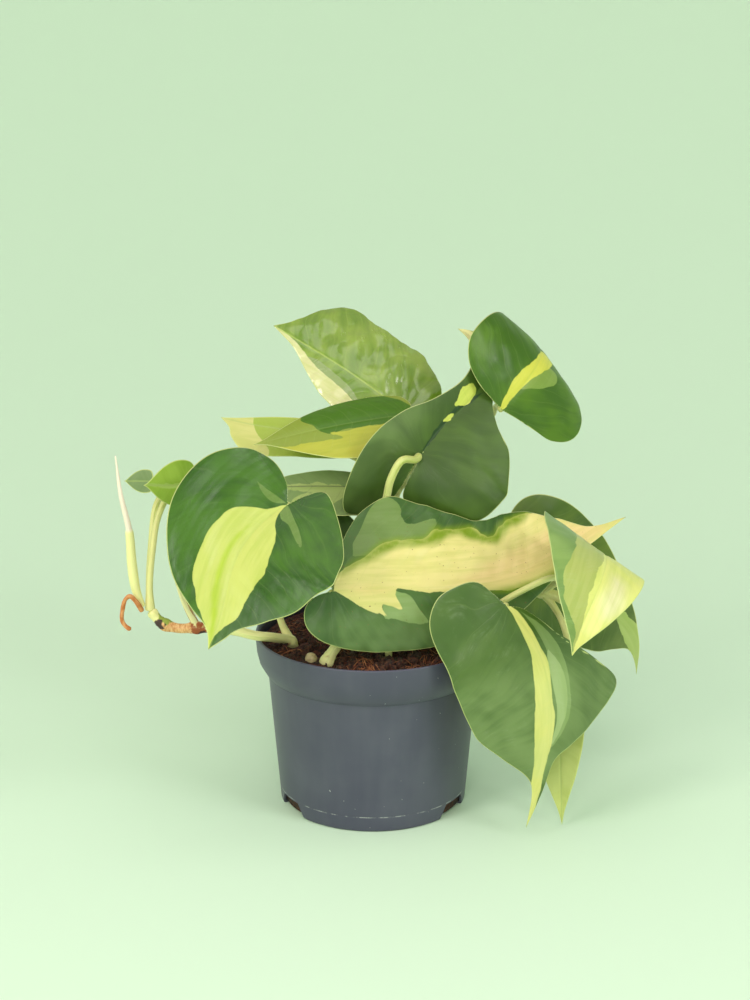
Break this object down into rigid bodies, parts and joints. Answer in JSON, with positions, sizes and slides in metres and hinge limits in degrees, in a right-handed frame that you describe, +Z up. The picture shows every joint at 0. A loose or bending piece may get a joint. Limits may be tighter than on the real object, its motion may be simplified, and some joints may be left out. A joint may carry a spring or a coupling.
{
  "type": "potted brasil philodendron",
  "caption": "Small trailing houseplant with variegated heart-shaped leaves on jointed vines, growing in potting mix in a round plastic nursery pot.",
  "frame": {"origin": "centre of the pot's underside, on the surface it stands on", "axes": "+Z up; -Y is the front, the side the leaves turn to; +X to the right as seen from the front"},
  "size_m": [0.2709, 0.1901, 0.2443],
  "materials": {
    "pot_plastic": "satin",
    "potting_mix": "matte",
    "stem": "satin",
    "root": "matte",
    "leaf": "satin"
  },
  "bodies": {
    "root": {"pot": "pot_plastic", "potting_mix": "potting_mix", "vine_left": "stem", "vine_middle": "stem", "vine_right": "stem", "vine_back": "stem", "stem_stub_brown": "stem", "stem_stub_green": "stem", "new_shoot": "stem", "aerial_root": "root", "leaf_front_left": "leaf", "leaf_long_centre": "leaf", "leaf_front_right": "leaf", "leaf_middle_dark": "leaf", "leaf_top": "leaf", "leaf_upper_right": "leaf", "leaf_right_folded": "leaf", "leaf_upper_left": "leaf", "leaf_far_left": "leaf", "leaf_left_behind": "leaf", "leaf_small_inner": "leaf", "leaf_right_behind": "leaf", "leaf_right_hanging": "leaf", "leaf_vine_end": "leaf", "leaf_vine_small": "leaf"}
  },
  "joints": []
}
